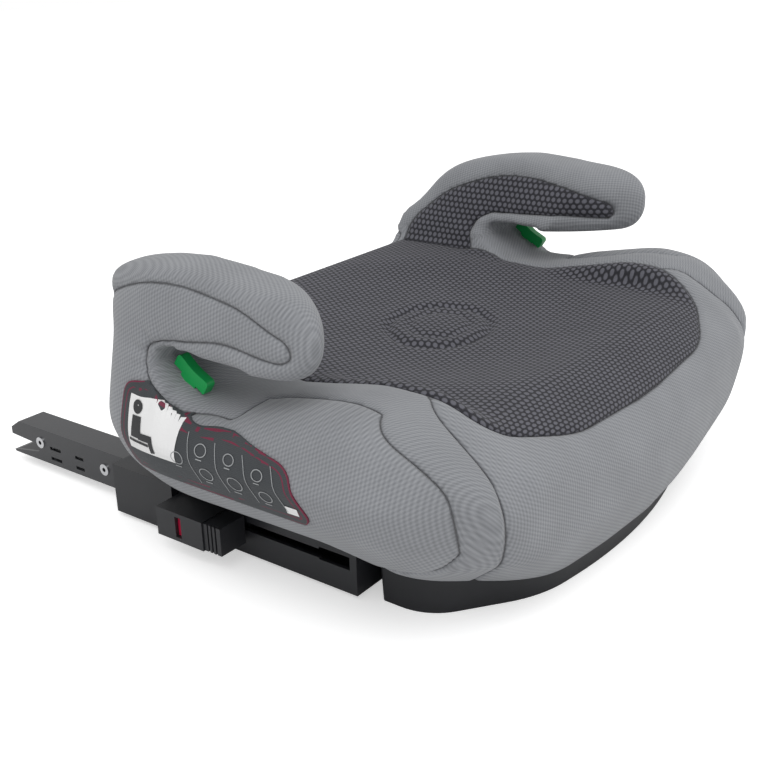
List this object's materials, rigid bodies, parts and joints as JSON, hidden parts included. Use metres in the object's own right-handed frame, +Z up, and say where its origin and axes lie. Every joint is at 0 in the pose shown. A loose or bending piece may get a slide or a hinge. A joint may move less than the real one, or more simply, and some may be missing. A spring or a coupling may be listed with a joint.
{
  "type": "child booster seat",
  "caption": "Backless child booster seat: padded cover over a moulded shell, belt guides under both armrests, and sliding anchor connectors with latch hooks.",
  "frame": {"origin": "on the flat underside of the base, on the middle plane, 209 mm behind the front edge", "axes": "+Z up, the child faces -Y, the connectors point to +Y, +X is the child's left"},
  "size_m": [0.4366, 0.4486, 0.1979],
  "materials": {
    "cover_knit": "ribbed knit",
    "spacer_mesh": "open spacer mesh",
    "label_cloth": "printed cloth",
    "foam": "open-cell foam",
    "green_plastic": "satin",
    "red_plastic": "satin",
    "black_plastic": "fine satin grain",
    "shell_plastic": "as moulded",
    "black_steel": "satin powder coat",
    "bare_steel": "zinc plated",
    "rivet_steel": "bright"
  },
  "bodies": {
    "booster": {"side_panel_right": "cover_knit", "gusset_right": "cover_knit", "arm_mesh_right": "spacer_mesh", "side_foam_right": "foam", "belt_guide_right": "green_plastic", "rail_right": "black_plastic", "rail_mouth_right": "black_plastic", "side_panel_left": "cover_knit", "gusset_left": "cover_knit", "arm_mesh_left": "spacer_mesh", "side_foam_left": "foam", "belt_guide_left": "green_plastic", "rail_left": "black_plastic", "rail_mouth_left": "black_plastic", "front_panel": "cover_knit", "rear_panel": "cover_knit", "seat_mesh": "spacer_mesh", "seat_foam": "foam", "label_patch": "label_cloth", "seat_shell": "shell_plastic", "base_shell": "black_plastic", "body_screws": "bare_steel", "rail_screws": "bare_steel"},
    "connector_frame": {"cross_tube": "black_steel", "connector_rivets": "rivet_steel", "connector_arm_right": "black_steel", "release_housing_right": "black_plastic", "button_spring_right": "bare_steel", "connector_arm_left": "black_steel", "release_housing_left": "black_plastic", "button_spring_left": "bare_steel"},
    "hook_right": {"hook_right": "bare_steel"},
    "button_right": {"release_button_right": "black_plastic", "lock_bar_right": "bare_steel"},
    "indicator_right": {"indicator_right": "red_plastic"},
    "hook_left": {"hook_left": "bare_steel"},
    "button_left": {"release_button_left": "black_plastic", "lock_bar_left": "bare_steel"},
    "indicator_left": {"indicator_left": "red_plastic"}
  },
  "joints": [
    {"name": "connector_slide", "type": "slide", "parent": "booster", "child": "connector_frame", "axis": [0, -1, 0], "range_m": [0, 0.085]},
    {"name": "hook_right", "type": "hinge", "parent": "connector_frame", "child": "hook_right", "pos_m": [-0.14, 0.204, 0.0235], "axis": [1, 0, 0], "range_deg": [0, 25], "stiffness_Nm_per_rad": 0.05},
    {"name": "release_right", "type": "slide", "parent": "connector_frame", "child": "button_right", "axis": [0, -1, 0], "range_m": [0, 0.006], "stiffness_N_per_m": 600, "deforming": ["button_spring_right"]},
    {"name": "indicator_right", "type": "slide", "parent": "connector_frame", "child": "indicator_right", "axis": [0, -1, 0], "range_m": [0, 0.008]},
    {"name": "hook_left", "type": "hinge", "parent": "connector_frame", "child": "hook_left", "pos_m": [0.14, 0.204, 0.0235], "axis": [1, 0, 0], "range_deg": [0, 25], "stiffness_Nm_per_rad": 0.05},
    {"name": "release_left", "type": "slide", "parent": "connector_frame", "child": "button_left", "axis": [0, -1, 0], "range_m": [0, 0.006], "stiffness_N_per_m": 600, "deforming": ["button_spring_left"]},
    {"name": "indicator_left", "type": "slide", "parent": "connector_frame", "child": "indicator_left", "axis": [0, -1, 0], "range_m": [0, 0.008]}
  ],
  "couplings": [
    {"joint": "indicator_right", "follows": "hook_right", "m_per_rad": 0.0183},
    {"joint": "indicator_left", "follows": "hook_left", "m_per_rad": 0.0183}
  ]
}
